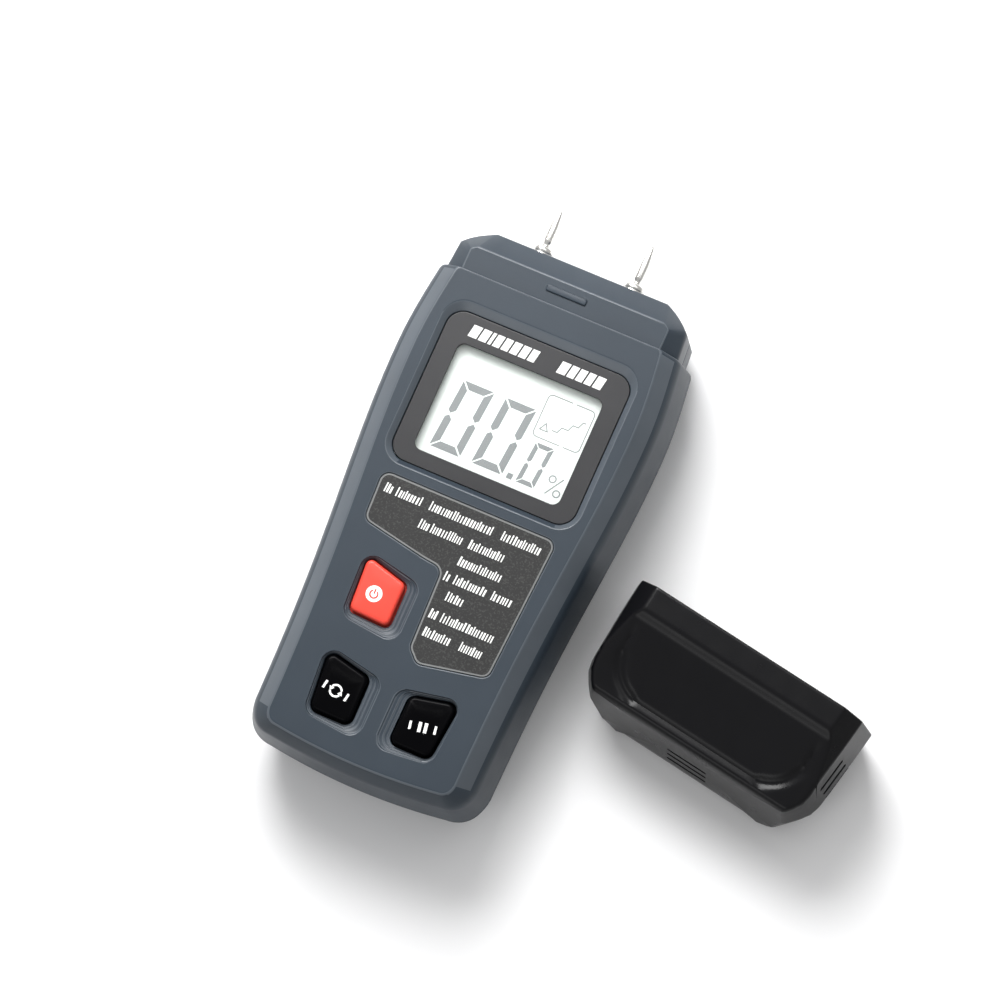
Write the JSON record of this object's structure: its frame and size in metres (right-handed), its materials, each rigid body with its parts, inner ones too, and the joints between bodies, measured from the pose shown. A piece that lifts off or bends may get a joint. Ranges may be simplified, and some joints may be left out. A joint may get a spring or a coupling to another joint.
{
  "type": "moisture meter",
  "caption": "Hand-held pin moisture meter with a display window, press keys, screw-in needle pins, a slide-off battery door and a loose pin cap.",
  "frame": {"origin": "centre of the flat back of the meter, on the surface it lies on", "axes": "+Z out of the display face, +Y along the needle pins, +X to the right when the display is read"},
  "size_m": [0.1286, 0.1339, 0.0287],
  "materials": {
    "case_plastic": "fine moulded texture, satin",
    "mask_print": "satin charcoal print",
    "clear_lens": "clear acrylic",
    "lcd_glass": "pale reflective display with grey segments",
    "white_plastic": "plain",
    "silicone": "zebra strip",
    "label_print": "speckled charcoal film with a pale outline",
    "board": "green solder mask",
    "chip": "moulded epoxy",
    "red_key": "satin red",
    "black_key": "glossy black",
    "brass": "turned brass",
    "battery_skin": "plain battery jacket",
    "steel": "bright nickel",
    "foam": "closed-cell foam",
    "cap_plastic": "satin black with glossy edges"
  },
  "bodies": {
    "meter": {"front_case": "case_plastic", "rear_case": "case_plastic", "window_mask": "mask_print", "display_lens": "clear_lens", "lcd_glass": "lcd_glass", "lcd_tray": "white_plastic", "contact_strip": "silicone", "label_plate": "label_print", "circuit_board": "board", "main_chip": "chip", "board_parts": "chip", "switch_housings": "chip", "battery": "battery_skin", "battery_studs": "steel", "contact_block": "chip", "contact_springs": "brass", "electrode_pins": "steel", "pin_sockets": "brass", "pin_leads": "brass", "case_screws": "steel", "board_screws": "steel"},
    "power_key": {"power_key": "red_key", "power_plunger": "brass"},
    "mode_key": {"mode_key": "black_key", "mode_plunger": "brass"},
    "hold_key": {"hold_key": "black_key", "hold_plunger": "brass"},
    "battery_door": {"battery_door": "case_plastic", "door_pad": "foam"},
    "cap": {"cap": "cap_plastic"}
  },
  "joints": [
    {"name": "power_press", "type": "slide", "parent": "meter", "child": "power_key", "axis": [0, 0, -1], "range_m": [0, 0.0006], "stiffness_N_per_m": 900, "springref_m": -0.0004},
    {"name": "mode_press", "type": "slide", "parent": "meter", "child": "mode_key", "axis": [0, 0, -1], "range_m": [0, 0.0006], "stiffness_N_per_m": 900, "springref_m": -0.0004},
    {"name": "hold_press", "type": "slide", "parent": "meter", "child": "hold_key", "axis": [0, 0, -1], "range_m": [0, 0.0006], "stiffness_N_per_m": 900, "springref_m": -0.0004},
    {"name": "door_slide", "type": "slide", "parent": "meter", "child": "battery_door", "axis": [0, -1, 0], "range_m": [0, 0.058]},
    {"name": "cap_slide", "type": "slide", "parent": "meter", "child": "cap", "axis": [0.1736, 0.9848, 0], "range_m": [0, 0.03]}
  ]
}
